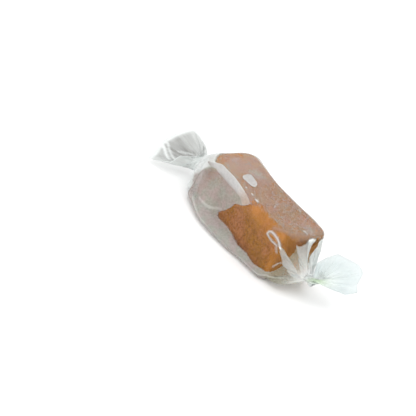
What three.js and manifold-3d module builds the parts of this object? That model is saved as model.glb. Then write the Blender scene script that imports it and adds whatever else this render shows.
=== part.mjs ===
// Soft caramel in a twisted sleeve of waxed paper.
// Millimetres. +X runs along the sweet from one twist to the other, +Z is up, and the origin is
// the middle of the flat underside that the sweet lies on.
import * as THREE from 'three';
import { mergeVertices } from 'three/addons/utils/BufferGeometryUtils.js';
import Module from 'manifold-3d';

const wasm = await Module();
wasm.setup();

// ---- Caramel block -----------------------------------------------------------------------------
const BLOCK_LENGTH = 44;
const BLOCK_WIDTH = 18.5;
const BLOCK_HEIGHT = 17;
const END_RADIUS = 2.4; // rounding of the two end faces
// Radii of the long edges, going round from the bottom: +Y bottom, +Y top, -Y top, -Y bottom.
const EDGE_RADII = [2.4, 2.6, 3.2, 2.6];
const TOP_EDGE = 1; // which of them changes along the block
const TOP_EDGE_TAPER = 2.4; // it is this much rounder at -X than at +X
const LEAST_RADIUS = 0.4; // of a long edge where an end rounds over
// Bulges of the hand-cut faces: their height, and how slowly a long and a short wave of them turn
// along X. They fade out towards the underside, which starts at this cosine of the way round.
const SWELL = { height: 0.35, long: 9, short: 5.5, underside: 0.7, fade: 1.5 };
const END_OUT = 0.9; // the end at -X is cut this much further out
const END_CORNER = 3; // and its +Y corner this much further in than the rest of it
const CORNER_START = 2; // from this far towards +Y
const BLOCK_POINTS = 48; // points round every ring of the block
const BLOCK_PLACES = [0, 7, 13]; // rings of the block's straight part
const END_SHARES = [1, 0.5, 0.18, 0]; // rings of a rounded end: distance to its tip, in radii

// ---- Waxed paper -------------------------------------------------------------------------------
const PAPER = 0.4; // wall of the sleeve
const GAP = 0.3; // play between the caramel and its sleeve
// The loose lower -Y side: how far it hangs away from the caramel, where along X most, and how far
// it spreads from there towards -X and towards +X.
const SLACK = { out: 5.6, centre: -7, before: 18, after: 20.5 };
// The heights from the axis at which the loose paper leaves the caramel, at -X and at +X, the places
// along X between which that changes, and the height from which down the paper hangs out fully.
const LEAVE = { high: 8.5, low: -5, from: -15, to: -6, full: -6.8 };
const PRESS = 0.2; // the underside is made this much lower, then cut flat where it lies
const LIFT_OFF = 0.25; // the paper leaves the block's rounded end this far before its tip
const RING_POINTS = 64; // points round every ring of the paper
const SLEEVE_PLACES = [-22.4, -21.2, -18, -14.5, -10.5, -6, -1, 4, 9, 14, 18, 21.2, 22.4];

// The overlap of the sleeve: a slanted slit beside the top -Y edge that opens the sleeve.
const SEAM = { length: 24, width: 0.3, depth: 6, slant: 0.6, x: -8, y: -7.4 };

// ---- Twists: where the paper is gathered to a neck, and how it opens again ---------------------
// A crest is the place of one pleat, as a share of the way round from the bottom towards +Y.
// It drifts round by "drift" on its way to the neck. The rim is the cut edge of the paper, measured
// from the end of the neck. "turn" is the twist of the neck in radians, and "loose" the place round
// the sweet where its end is gathered loosest.
// A draw says how soon the paper is drawn in to the neck, as a power of the way there: small is
// soon. Each twist gives that of its valleys and crests on its loose side.
const TIGHT_DRAW = { valley: 0.45, crest: 0.95 };
const RIGHT_TWIST = {
  side: 1,
  start: new THREE.Vector3(31.2, -0.2, 8.6),
  end: new THREE.Vector3(34, 0, 8.5),
  radius: 1.5,
  turn: -2.6,
  drift: 0.09,
  loose: 0.95,
  draw: { valley: 1.7, crest: 2.2 },
  crests: [0.05, 0.16, 0.25, 0.335, 0.49, 0.69, 0.8, 0.9],
  rim: [
    [6.8, 7.6, 0.4], [4.8, 10.2, 1.5], [3.8, 12.8, 3.7], [-1, 9.6, 6.7], [-3.9, 2, 4.3],
    [-2.6, 4, 7.9], [-1.3, 6.1, 10], [0.4, 7.2, 10.2], [4.3, 10.2, 10.1], [6.9, 11.1, 8.6],
    [8.2, 9.6, 5], [9.6, 9.4, 3.3],
  ],
};
const LEFT_TWIST = {
  side: -1,
  start: new THREE.Vector3(-29, -3.6, 6.5),
  end: new THREE.Vector3(-32.6, -3.9, 6.6),
  radius: 3,
  turn: 2.4,
  drift: 0,
  loose: 0.8,
  draw: { valley: 2.1, crest: 2.8 },
  crests: [0.04, 0.15, 0.27, 0.38, 0.5, 0.62, 0.74, 0.88],
  rim: [
    [-7.6, 3.5, 5.1], [-3.8, 3.7, 4.4], [0.6, 2.3, 2.7], [0.3, -4.6, 2.7], [-1, -7.8, 2.2],
    [-2.4, -9.5, -1.4], [-6.1, -11, -3.2], [-9.5, -13.1, -4.9], [-10.5, -10.8, -2.9],
    [-11.4, -8.7, 0.7], [-12.5, -2.7, 3.5], [-11.5, 2, 5.9],
  ],
};
const RIM_TENSION = 0.35; // the rim runs nearly straight between its corners
const FLARE = 0.6; // the paper leaves the neck this far straight before it opens
const FLARE_SHARE = 0.25; // and has gone this share of the way to the rim when it bends
const PLEAT_DEPTH = 0.5; // relief of the pleats in the open fans
const PLEAT_RISE = 0.25; // the relief follows half a sine wave, from here at the neck
const PLEAT_FALL = 0.85; // to here near the rim
const ROPE_RELIEF = 0.28; // relief of the twisted neck, as a share of its radius
const WAIST = 0.12; // how much the neck narrows half way
const CREST_WIDTH = 1.9; // a larger number makes narrower crests
const CREST_ROUNDING = 0.7; // a smaller number makes rounder crests

const SLEEVE_OUT = GAP + PAPER;
const AXIS_HEIGHT = SLEEVE_OUT + BLOCK_HEIGHT / 2;
const SLEEVE_END = BLOCK_LENGTH / 2 + SLEEVE_OUT;
const GATHER_STEPS = [0.04, 0.12, 0.25, 0.42, 0.62, 0.82];
const NECK_STEPS = [0, 0.25, 0.5, 0.75, 1];
const FAN_STEPS = [0.12, 0.26, 0.42, 0.58, 0.74, 0.88, 1];

const smooth = (t) => t * t * (3 - 2 * t);
const clamp01 = (t) => Math.min(1, Math.max(0, t));
const mix = (a, b, t) => a + (b - a) * t;

function ring(count, pointAt) {
  return Array.from({ length: count }, (_, i) => pointAt(i / count));
}

// 1 at a place on the way round, 0 straight across from it.
const nearness = (share, place) => (1 + Math.cos(2 * Math.PI * (share - place))) / 2;

// How far a rounded end is drawn in, at a distance from its tip.
function endInset(fromTip, radius) {
  return radius - Math.sqrt(radius ** 2 - (radius - Math.min(radius, fromTip)) ** 2);
}

// ---- Cross-section -----------------------------------------------------------------------------
// Point and outward normal on a rounded rectangle, measured from its centre.
// "share" goes round from the bottom middle towards +Y.
function roundedRectangle(share, halfWidth, halfHeight, radii) {
  const corners = [[1, -1, -0.5], [1, 1, 0], [-1, 1, 0.5], [-1, -1, 1]];
  const directions = [[1, 0], [0, 1], [-1, 0], [0, -1], [1, 0]];
  const sides = [halfWidth, 2 * halfHeight, 2 * halfWidth, 2 * halfHeight, halfWidth];
  const before = [0, ...radii];
  const after = [...radii, 0];
  const straight = sides.map((side, i) => side - before[i] - after[i]);
  const quarter = Math.PI / 2;
  let left = share * straight.reduce((sum, s, i) => sum + s + after[i] * quarter, 0);
  let [y, z] = [0, -halfHeight];
  for (let i = 0; i < corners.length; i++) {
    const [dy, dz] = directions[i];
    if (left <= straight[i]) return { y: y + dy * left, z: z + dz * left, ny: dz, nz: -dy };
    left -= straight[i];
    const [sy, sz, startAngle] = corners[i];
    const [cy, cz] = [sy * (halfWidth - after[i]), sz * (halfHeight - after[i])];
    const angle = startAngle * Math.PI + Math.min(quarter, left / after[i]);
    [y, z] = [cy + after[i] * Math.cos(angle), cz + after[i] * Math.sin(angle)];
    if (left <= after[i] * quarter) return { y, z, ny: Math.cos(angle), nz: Math.sin(angle) };
    left -= after[i] * quarter;
  }
  return { y: y + left, z: -halfHeight, ny: 0, nz: -1 };
}

// Gentle bulges and hollows of the hand-cut faces. The underside stays flat.
function faceSwell(x, share) {
  const turn = 2 * Math.PI * share;
  const wave = Math.sin(x / SWELL.long + 2 * Math.cos(turn)) + Math.sin(x / SWELL.short - 3 * turn) / 2;
  return SWELL.height * wave * clamp01(SWELL.fade * (SWELL.underside - Math.cos(turn)));
}

// The block's section at x, grown outwards by "grow".
function blockPoint(x, share, grow) {
  const taper = TOP_EDGE_TAPER * (0.5 - clamp01(x / BLOCK_LENGTH + 0.5));
  const radii = EDGE_RADII.map((r, i) => Math.max(LEAST_RADIUS, r + grow + (i === TOP_EDGE ? taper : 0)));
  const p = roundedRectangle(share, BLOCK_WIDTH / 2 + grow, BLOCK_HEIGHT / 2 + grow, radii);
  const swell = faceSwell(x, share);
  return { y: p.y + p.ny * swell, z: p.z + p.nz * swell };
}

// The x of a point once the end at -X is cut askew.
function cutEnd(x, y) {
  const corner = clamp01((y - CORNER_START) / (BLOCK_WIDTH / 2 - CORNER_START)) ** 2;
  return x + (END_CORNER * corner - END_OUT) * clamp01(-x / (BLOCK_LENGTH / 2)) ** 2;
}

// ---- Skins over rings --------------------------------------------------------------------------
function centroid(points) {
  return points.reduce((sum, p) => sum.add(p), new THREE.Vector3()).divideScalar(points.length);
}

// Closed skin over a row of rings that turn from +Y to +Z, shut at both ends.
function loft(rings) {
  const count = rings[0].length;
  const vertices = rings.flat();
  const triangles = [];
  for (let r = 0; r + 1 < rings.length; r++) {
    for (let i = 0; i < count; i++) {
      const [a, b] = [r * count + i, r * count + (i + 1) % count];
      triangles.push(a, b, b + count, a, b + count, a + count);
    }
  }
  for (const [end, flip] of [[0, true], [rings.length - 1, false]]) {
    const centre = vertices.length;
    vertices.push(centroid(rings[end]));
    for (let i = 0; i < count; i++) {
      const [a, b] = [end * count + i, end * count + (i + 1) % count];
      triangles.push(centre, flip ? b : a, flip ? a : b);
    }
  }
  const geometry = new THREE.BufferGeometry();
  const positions = vertices.flatMap((v) => v.toArray());
  geometry.setAttribute('position', new THREE.Float32BufferAttribute(positions, 3));
  geometry.setIndex(triangles);
  return geometry;
}

// ---- Caramel -----------------------------------------------------------------------------------
// Rings from -X to +X, close together where both ends round over.
function blockRings(grow) {
  const half = BLOCK_LENGTH / 2 + grow;
  const radius = END_RADIUS + grow;
  const places = [...BLOCK_PLACES, ...END_SHARES.map((share) => half - share * radius)];
  const mirrored = places.slice(1).reverse().map((x) => -x);
  return [...mirrored, ...places].map((x) => {
    const inset = endInset(half - Math.abs(x), radius);
    return ring(BLOCK_POINTS, (share) => {
      const p = blockPoint(x, share, grow - inset);
      return new THREE.Vector3(cutEnd(x, p.y), p.y, p.z + AXIS_HEIGHT);
    });
  });
}

// ---- Paper sleeve ------------------------------------------------------------------------------
// The lower -Y side hangs loose, as a belly between the two ends.
function slack(x, p) {
  const reach = x > SLACK.centre ? SLACK.after : SLACK.before;
  const along = Math.exp(-(((x - SLACK.centre) / reach) ** 2));
  const onward = smooth(clamp01((x - LEAVE.from) / (LEAVE.to - LEAVE.from)));
  const leave = mix(LEAVE.high, LEAVE.low, onward);
  const down = clamp01((leave - p.z) / (leave - LEAVE.full));
  const quarter = BLOCK_WIDTH / 4;
  return SLACK.out * along * down * clamp01((-p.y - quarter) / quarter);
}

// The sleeve's section at x, measured from the block's axis. It follows the rounded ends.
function sleevePoint(x, share) {
  const inset = endInset(Math.max(LIFT_OFF, SLEEVE_END - Math.abs(x)), END_RADIUS + SLEEVE_OUT);
  const p = blockPoint(x, share, SLEEVE_OUT - inset);
  return { y: p.y - slack(x, p), z: p.z - PRESS * nearness(share, 0) };
}

function sleeveRings() {
  return SLEEVE_PLACES.map((x) => ring(RING_POINTS, (share) => {
    const p = sleevePoint(x, share);
    return new THREE.Vector3(cutEnd(x, p.y), p.y, p.z + AXIS_HEIGHT);
  }));
}

// ---- Gathered ends and necks -------------------------------------------------------------------
// 1 on the crest of a pleat, 0 in the valley between two.
function crest(share, crests) {
  const nearest = Math.min(...crests.map((c) => Math.abs((share - c + 1.5) % 1 - 0.5)));
  return clamp01(1 - nearest * crests.length * CREST_WIDTH) ** CREST_ROUNDING;
}

// Axes of a ring across "along", which always points roughly to +X.
function across(along) {
  const up = new THREE.Vector3(0, 0, 1).addScaledVector(along, -along.z).normalize();
  return { side: new THREE.Vector3().crossVectors(up, along), up };
}

function neckAxis(twist) {
  return twist.end.clone().sub(twist.start).multiplyScalar(twist.side).normalize();
}

function neckPoint(twist, share, t) {
  const angle = 2 * Math.PI * share - Math.PI / 2 + twist.turn * t;
  const relief = 1 + ROPE_RELIEF * (crest(share - twist.drift, twist.crests) - 0.5);
  const radius = twist.radius * relief * (1 - WAIST * Math.sin(Math.PI * t));
  return { y: radius * Math.cos(angle), z: radius * Math.sin(angle) };
}

// The paper between the block's end and the neck. Crests run straight to the neck and valleys
// hug the block, except round the loose side, where both hang fuller.
function gatherRings(twist) {
  const origin = new THREE.Vector3(twist.side * SLEEVE_END, 0, AXIS_HEIGHT);
  return GATHER_STEPS.map((t) => {
    const along = new THREE.Vector3(1, 0, 0).lerp(neckAxis(twist), smooth(t)).normalize();
    const { side, up } = across(along);
    const centre = origin.clone().lerp(twist.start, t);
    return ring(RING_POINTS, (share) => {
      const wide = sleevePoint(origin.x, share);
      const neck = neckPoint(twist, share, 0);
      const loose = nearness(share, twist.loose);
      const valley = t ** mix(TIGHT_DRAW.valley, twist.draw.valley, loose);
      const straight = t ** mix(TIGHT_DRAW.crest, twist.draw.crest, loose);
      const drawn = mix(valley, straight, crest(share - twist.drift * t, twist.crests));
      const point = centre.clone();
      point.x += (cutEnd(origin.x, wide.y) - origin.x) * (1 - t);
      return point
        .addScaledVector(side, mix(wide.y, neck.y, drawn))
        .addScaledVector(up, mix(wide.z, neck.z, drawn));
    });
  });
}

// The twisted neck, like a short rope.
function neckRings(twist) {
  const { side, up } = across(neckAxis(twist));
  return NECK_STEPS.map((t) => ring(RING_POINTS, (share) => {
    const p = neckPoint(twist, share, t);
    const centre = twist.start.clone().lerp(twist.end, t);
    return centre.addScaledVector(side, p.y).addScaledVector(up, p.z);
  }));
}

// ---- Open fans ---------------------------------------------------------------------------------
function quadratic(a, b, c, t) {
  const [fromA, fromB, fromC] = [(1 - t) ** 2, 2 * t * (1 - t), t ** 2];
  return new THREE.Vector3().addScaledVector(a, fromA).addScaledVector(b, fromB).addScaledVector(c, fromC);
}

// Smooth rings from the neck out to the cut rim.
function plainFanRings(twist) {
  const corners = twist.rim.map((p) => new THREE.Vector3(...p).add(twist.end));
  const rim = new THREE.CatmullRomCurve3(corners, true, 'catmullrom', RIM_TENSION);
  const neck = neckRings(twist).at(-1);
  const outward = neckAxis(twist).multiplyScalar(twist.side * FLARE);
  return FAN_STEPS.map((t) => ring(RING_POINTS, (share) => {
    const start = neck[Math.round(share * RING_POINTS)];
    const end = rim.getPoint(share);
    const bend = start.clone().add(outward).lerp(end, FLARE_SHARE);
    return quadratic(start, bend, end, t);
  }));
}

// Moves every point of a row of rings by "distance" away from the inside of the fan.
function offsetRings(rings, twist, distance) {
  const count = RING_POINTS;
  return rings.map((points, r) => points.map((p, i) => {
    const round = points[(i + 1) % count].clone().sub(points[(i + count - 1) % count]);
    const next = rings[Math.min(r + 1, rings.length - 1)][i];
    const onward = next.clone().sub(rings[Math.max(r - 1, 0)][i]);
    const normal = round.cross(onward).normalize();
    return p.clone().addScaledVector(normal, twist.side * distance(r / (rings.length - 1), i / count));
  }));
}

// Outer face with its pleats, and the inner face one paper wall further in.
function fanSkins(twist) {
  const pleat = (t, share) => {
    const fade = Math.sin(Math.PI * Math.min(PLEAT_FALL, PLEAT_RISE + t));
    return PLEAT_DEPTH * fade * (crest(share - twist.drift, twist.crests) - 0.5);
  };
  const outer = offsetRings(plainFanRings(twist), twist, pleat);
  const inner = offsetRings(outer, twist, () => -PAPER).slice(1);
  return { outer, inner };
}

// One skin from the inside of one fan, over its rim, along the sweet and into the other fan.
function paperOutside() {
  const left = fanSkins(LEFT_TWIST);
  const right = fanSkins(RIGHT_TWIST);
  return loft([
    ...left.inner, ...left.outer.reverse(),
    ...neckRings(LEFT_TWIST).reverse(), ...gatherRings(LEFT_TWIST).reverse(),
    ...sleeveRings(),
    ...gatherRings(RIGHT_TWIST), ...neckRings(RIGHT_TWIST),
    ...right.outer, ...right.inner.reverse(),
  ]);
}

// ---- Joining and cutting -----------------------------------------------------------------------
function toSolid(geometry) {
  const bare = geometry.clone();
  bare.deleteAttribute('normal');
  bare.deleteAttribute('uv');
  const merged = mergeVertices(bare);
  return new wasm.Manifold(new wasm.Mesh({
    numProp: 3,
    vertProperties: new Float32Array(merged.attributes.position.array),
    triVerts: new Uint32Array(merged.index.array),
  }));
}

function toGeometry(solid) {
  const { vertProperties, triVerts } = solid.getMesh();
  const geometry = new THREE.BufferGeometry();
  geometry.setAttribute('position', new THREE.BufferAttribute(vertProperties, 3));
  geometry.setIndex(new THREE.BufferAttribute(triVerts, 1));
  return geometry;
}

// The paper, hollowed for the caramel, slit along its overlap and flat where it lies.
function paperGeometry() {
  const tableDepth = 20;
  const table = new THREE.BoxGeometry(3 * BLOCK_LENGTH, 4 * BLOCK_WIDTH, tableDepth);
  table.translate(0, 0, -tableDepth / 2);
  const seam = new THREE.BoxGeometry(SEAM.length, SEAM.width, SEAM.depth);
  seam.rotateX(SEAM.slant).translate(SEAM.x, SEAM.y, AXIS_HEIGHT + BLOCK_HEIGHT / 2);
  const cuts = [loft(blockRings(GAP)), seam, table];
  return toGeometry(cuts.reduce((paper, cut) => paper.subtract(toSolid(cut)), toSolid(paperOutside())));
}

function piece(name, geometry, color, roughness) {
  const mesh = new THREE.Mesh(geometry, new THREE.MeshStandardMaterial({ color, roughness, metalness: 0 }));
  mesh.geometry.computeVertexNormals();
  mesh.name = name;
  return mesh;
}

const group = new THREE.Group();
group.add(piece('caramel', loft(blockRings(0)), '#a3713f', 0.35));
group.add(piece('wrapper', paperGeometry(), '#e9eeee', 0.45));

export default group;
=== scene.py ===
"""Looks of a soft caramel twisted in waxed paper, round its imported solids.

Lengths are in millimetres until a mesh is made, in the frame of the solids: +X along the sweet, +Z up, and
the origin in the middle of the underside. A "share" is a place on the way round the sweet, from the middle of
the bottom towards +Y. A "place on the sheet" is one on the unfolded paper: millimetres along the sweet, then
millimetres round it. The sizes of the solids, repeated here, keep the names that they have there.
"""
from math import pi

import bpy
import numpy as np
from mathutils import Matrix, Vector


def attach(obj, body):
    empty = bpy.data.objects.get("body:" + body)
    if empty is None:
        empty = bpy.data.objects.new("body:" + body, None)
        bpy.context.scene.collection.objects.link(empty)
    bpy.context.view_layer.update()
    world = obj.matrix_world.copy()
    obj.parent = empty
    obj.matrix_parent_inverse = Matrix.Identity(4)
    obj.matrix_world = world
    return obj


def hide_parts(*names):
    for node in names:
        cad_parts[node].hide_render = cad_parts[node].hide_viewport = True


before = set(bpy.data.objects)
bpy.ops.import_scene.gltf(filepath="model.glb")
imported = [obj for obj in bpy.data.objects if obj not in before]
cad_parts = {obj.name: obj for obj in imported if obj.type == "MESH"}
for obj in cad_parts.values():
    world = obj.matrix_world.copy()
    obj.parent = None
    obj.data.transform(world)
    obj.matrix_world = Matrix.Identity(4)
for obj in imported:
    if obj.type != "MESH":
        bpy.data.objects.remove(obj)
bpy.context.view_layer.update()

MM = 0.001

# ---- Caramel block, as in the solids ---------------------------------------------------------------------
BLOCK_LENGTH = 44
BLOCK_WIDTH = 18.5
BLOCK_HEIGHT = 17
END_RADIUS = 2.4  # rounding of the two end faces
EDGE_RADII = (2.4, 2.6, 3.2, 2.6)  # of the long edges: +Y bottom, +Y top, -Y top, -Y bottom
TOP_EDGE = 1  # which of them changes along the block
TOP_EDGE_TAPER = 2.4  # it is this much rounder at -X than at +X
LEAST_RADIUS = 0.4  # of a long edge where an end rounds over
# Bulges of the hand-cut faces: their height, and how slowly a long and a short wave of them turn along X.
# They fade out towards the underside, which starts at this cosine of the way round.
SWELL = dict(height=0.35, long=9, short=5.5, underside=0.7, fade=1.5)
END_OUT = 0.9  # the end at -X is cut this much further out
END_CORNER = 3  # and its +Y corner this much further in than the rest
CORNER_START = 2  # from this far towards +Y
SLEEVE_OUT = 0.7  # from the block to the outside of the solid's paper
AXIS_HEIGHT = SLEEVE_OUT + BLOCK_HEIGHT / 2
SLEEVE_END = BLOCK_LENGTH / 2 + SLEEVE_OUT

# ---- Paper, as in the solids -----------------------------------------------------------------------------
# The loose lower -Y side: how far it hangs away from the caramel, where along X most, and how far it spreads
# from there towards -X and towards +X.
SLACK = dict(out=5.6, centre=-7, before=18, after=20.5)
# The heights from the axis at which the loose paper leaves the caramel, at -X and at +X, the places along X
# between which that changes, and the height from which down the paper hangs out fully.
LEAVE = {"high": 8.5, "low": -5, "from": -15, "to": -6, "full": -6.8}
PRESS = 0.2  # the underside is made this much lower, then pressed flat where it lies
LIFT_OFF = 0.25  # the paper leaves the block's rounded end this far before its tip
# A draw says how soon the paper is drawn in to the neck, as a power of the way there: small is soon. Each
# twist gives that of its valleys and crests on its loose side.
TIGHT_DRAW = dict(valley=0.45, crest=0.95)
RIGHT_TWIST = dict(
    side=1, start=(31.2, -0.2, 8.6), end=(34, 0, 8.5), radius=1.5, turn=-2.6, drift=0.09,
    loose=0.95, draw=dict(valley=1.7, crest=2.2),
    crests=(0.05, 0.16, 0.25, 0.335, 0.49, 0.69, 0.8, 0.9),
    rim=((6.8, 7.6, 0.4), (4.8, 10.2, 1.5), (3.8, 12.8, 3.7), (-1, 9.6, 6.7), (-3.9, 2, 4.3), (-2.6, 4, 7.9),
         (-1.3, 6.1, 10), (0.4, 7.2, 10.2), (4.3, 10.2, 10.1), (6.9, 11.1, 8.6), (8.2, 9.6, 5),
         (9.6, 9.4, 3.3)),
)
LEFT_TWIST = dict(
    side=-1, start=(-29, -3.6, 6.5), end=(-32.6, -3.9, 6.6), radius=3, turn=2.4, drift=0,
    loose=0.8, draw=dict(valley=2.1, crest=2.8),
    crests=(0.04, 0.15, 0.27, 0.38, 0.5, 0.62, 0.74, 0.88),
    rim=((-7.6, 3.5, 5.1), (-3.8, 3.7, 4.4), (0.6, 2.3, 2.7), (0.3, -4.6, 2.7), (-1, -7.8, 2.2),
         (-2.4, -9.5, -1.4), (-6.1, -11, -3.2), (-9.5, -13.1, -4.9), (-10.5, -10.8, -2.9), (-11.4, -8.7, 0.7),
         (-12.5, -2.7, 3.5), (-11.5, 2, 5.9)),
)
RIM_TENSION = 0.35  # the rim runs nearly straight between its corners
FLARE = 0.6  # the paper leaves the neck this far straight before it opens
FLARE_SHARE = 0.25  # and has gone this share of the way to the rim when it bends
PLEAT_DEPTH = 0.5  # relief of the pleats in the open fans
PLEAT_RISE = 0.25  # the relief follows half a sine wave, from here at the neck
PLEAT_FALL = 0.85  # to here near the rim
ROPE_RELIEF = 0.28  # relief of the twisted neck, as a share of its radius
WAIST = 0.12  # how much the neck narrows half way
CREST_WIDTH = 1.9  # a larger number makes narrower crests
CREST_ROUNDING = 0.7  # a smaller number makes rounder crests

# ---- What the solids leave out ---------------------------------------------------------------------------
FILM_OUT = 0.6  # from the block to the outside of the paper
FILM_WALL = 0.1
CARAMEL_GROWTH = 0.42  # the caramel fills its sleeve, apart from the play that the solids need

# ---- How fine the meshes are -----------------------------------------------------------------------------
ARC_POINTS = 10  # in a rounded edge of a section
BLOCK_RING_POINTS = 160
BODY_RINGS = 46  # from the middle of the caramel to where its end starts to round over
END_RINGS = 14  # and from there to its tip
RING_POINTS = 192  # round every ring of the paper
SHARES = np.arange(RING_POINTS) / RING_POINTS
SLEEVE_LAST = 22.4  # where the outermost rings that follow the block are
SLEEVE_RINGS = 96
SLEEVE_SPREAD = 1.1  # a larger number packs them closer at both ends
GATHER_STEPS = np.linspace(0.02, 1, 36)[:-1]
NECK_STEPS = np.linspace(0, 1, 11)
FAN_STEPS = np.linspace(0, 1, 27)[1:]
OUTLINE_STEPS = 6  # between two corners of an outline on the sheet


# ---- Short forms -----------------------------------------------------------------------------------------
def smooth(t):
    return t * t * (3 - 2 * t)


def clamp01(t):
    return np.clip(t, 0, 1)


def mix(a, b, t):
    return a + (b - a) * t


def step(value, low, high):
    """0 below low, 1 above high, smooth between them."""
    return smooth(clamp01((value - low) / (high - low)))


def stages(value, number, *changes):
    """A number that changes as value grows: each change gives the next number, and from where to where."""
    for following, low, high in changes:
        number = mix(number, following, step(value, low, high))
    return number


def spot(places, middle, reach):
    """1 in the middle of a round spot, fading out over its reach."""
    return np.exp(-(((places - middle) / reach) ** 2).sum(-1))


def nearness(share, place):
    """1 at a place on the way round, 0 straight across from it."""
    return (1 + np.cos(2 * pi * (share - place))) / 2


def normalized(v):
    return v / np.linalg.norm(v, axis=-1, keepdims=True)


def closed_curve(corners, shares):
    """Points on a smooth closed line through its corners."""
    count = len(corners)
    first = np.floor(shares * count).astype(int)
    t = (shares * count - first)[:, None]
    p0, p1, p2, p3 = (corners[(first + k) % count] for k in (-1, 0, 1, 2))
    slope1, slope2 = RIM_TENSION * (p2 - p0), RIM_TENSION * (p3 - p1)
    return (
        p1 + slope1 * t + (3 * (p2 - p1) - 2 * slope1 - slope2) * t**2
        + (2 * (p1 - p2) + slope1 + slope2) * t**3
    )


# ---- Sections of the block and of its sleeve -------------------------------------------------------------
def end_inset(from_tip, radius):
    """How far a rounded end is drawn in, at a distance from its tip."""
    return radius - np.sqrt(radius**2 - (radius - min(radius, from_tip)) ** 2)


def cut_end(x, y):
    """The x of a point, once the end at -X is cut as it is."""
    corner = clamp01((y - CORNER_START) / (BLOCK_WIDTH / 2 - CORNER_START)) ** 2
    return x + (END_CORNER * corner - END_OUT) * clamp01(-x / (BLOCK_LENGTH / 2)) ** 2


def rounded_rectangle(shares, half_width, half_height, radii):
    """y, z and the outward normal's ny, nz at shares of the way round, measured from the centre."""
    corners = ((1, -1, -pi / 2), (1, 1, 0), (-1, 1, pi / 2), (-1, -1, pi))
    turns = np.linspace(0, pi / 2, ARC_POINTS)
    outline = [np.array([[0, -half_height, 0, -1]])]
    for (side, level, start), radius in zip(corners, radii):
        ny, nz = np.cos(start + turns), np.sin(start + turns)
        y = side * (half_width - radius) + radius * ny
        z = level * (half_height - radius) + radius * nz
        outline.append(np.stack([y, z, ny, nz], 1))
    outline = np.concatenate([*outline, outline[0]])
    gone = np.concatenate([[0], np.cumsum(np.linalg.norm(np.diff(outline[:, :2], axis=0), axis=1))])
    return [np.interp(shares * gone[-1], gone, column) for column in outline.T]


def face_swell(x, shares):
    """Gentle bulges and hollows of the hand-cut faces. The underside stays flat."""
    turn = 2 * pi * shares
    wave = np.sin(x / SWELL["long"] + 2 * np.cos(turn)) + np.sin(x / SWELL["short"] - 3 * turn) / 2
    return SWELL["height"] * wave * clamp01(SWELL["fade"] * (SWELL["underside"] - np.cos(turn)))


def block_section(x, shares, grow):
    """The block's section at x, grown outwards, as y and z from its axis."""
    taper = TOP_EDGE_TAPER * (0.5 - clamp01(x / BLOCK_LENGTH + 0.5))
    radii = [max(LEAST_RADIUS, r + grow + (taper if i == TOP_EDGE else 0)) for i, r in enumerate(EDGE_RADII)]
    y, z, ny, nz = rounded_rectangle(shares, BLOCK_WIDTH / 2 + grow, BLOCK_HEIGHT / 2 + grow, radii)
    swell = face_swell(x, shares)
    return y + ny * swell, z + nz * swell


def slack(x, y, z):
    """How far the lower -Y side of the paper hangs away from the caramel."""
    reach = SLACK["after"] if x > SLACK["centre"] else SLACK["before"]
    along = np.exp(-(((x - SLACK["centre"]) / reach) ** 2))
    leave = mix(LEAVE["high"], LEAVE["low"], step(x, LEAVE["from"], LEAVE["to"]))
    down = clamp01((leave - z) / (leave - LEAVE["full"]))
    quarter = BLOCK_WIDTH / 4
    return SLACK["out"] * along * down * clamp01((-y - quarter) / quarter)


def sleeve_section(x, shares):
    """The sleeve's section at x, as y and z from the block's axis. It follows the rounded ends."""
    inset = end_inset(max(LIFT_OFF, SLEEVE_END - abs(x)), END_RADIUS + SLEEVE_OUT)
    y, z = block_section(x, shares, FILM_OUT - inset)
    return y - slack(x, y, z), z - PRESS * nearness(shares, 0)


# ---- Caramel ---------------------------------------------------------------------------------------------
def caramel_rings():
    """Rings of points from -X to +X, close together where both ends round over."""
    half = BLOCK_LENGTH / 2 + CARAMEL_GROWTH
    radius = END_RADIUS + CARAMEL_GROWTH
    body = np.linspace(0, half - radius, BODY_RINGS)
    end = half - radius * (1 - np.sin(np.linspace(0, pi / 2, END_RINGS)[1:]))
    places = np.concatenate([body, end])
    places = np.concatenate([-places[:0:-1], places])
    shares = np.arange(BLOCK_RING_POINTS) / BLOCK_RING_POINTS
    rings = []
    for x in places:
        y, z = block_section(x, shares, CARAMEL_GROWTH - end_inset(half - abs(x), radius))
        rings.append(np.stack([cut_end(x, y), y, z + AXIS_HEIGHT], 1))
    return np.array(rings)


# ---- Gathered ends, necks and fans -----------------------------------------------------------------------
def crest(shares, crests):
    """1 on the crest of a main pleat, 0 in the valley between two."""
    apart = np.abs((shares[:, None] - np.array(crests) + 1.5) % 1 - 0.5).min(1)
    return clamp01(1 - apart * len(crests) * CREST_WIDTH) ** CREST_ROUNDING


def across(along):
    """Sideways and upward axes of a ring across "along", which always points roughly to +X."""
    up = normalized(np.array([0, 0, 1]) - along * along[2])
    return np.cross(up, along), up


def neck_axis(twist):
    return normalized((np.array(twist["end"]) - np.array(twist["start"])) * twist["side"])


def neck_section(twist, shares, t):
    angle = 2 * pi * (shares - 0.25) + twist["turn"] * t
    relief = 1 + ROPE_RELIEF * (crest(shares - twist["drift"], twist["crests"]) - 0.5)
    radius = twist["radius"] * relief * (1 - WAIST * np.sin(pi * t))
    return radius * np.cos(angle), radius * np.sin(angle)


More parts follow.
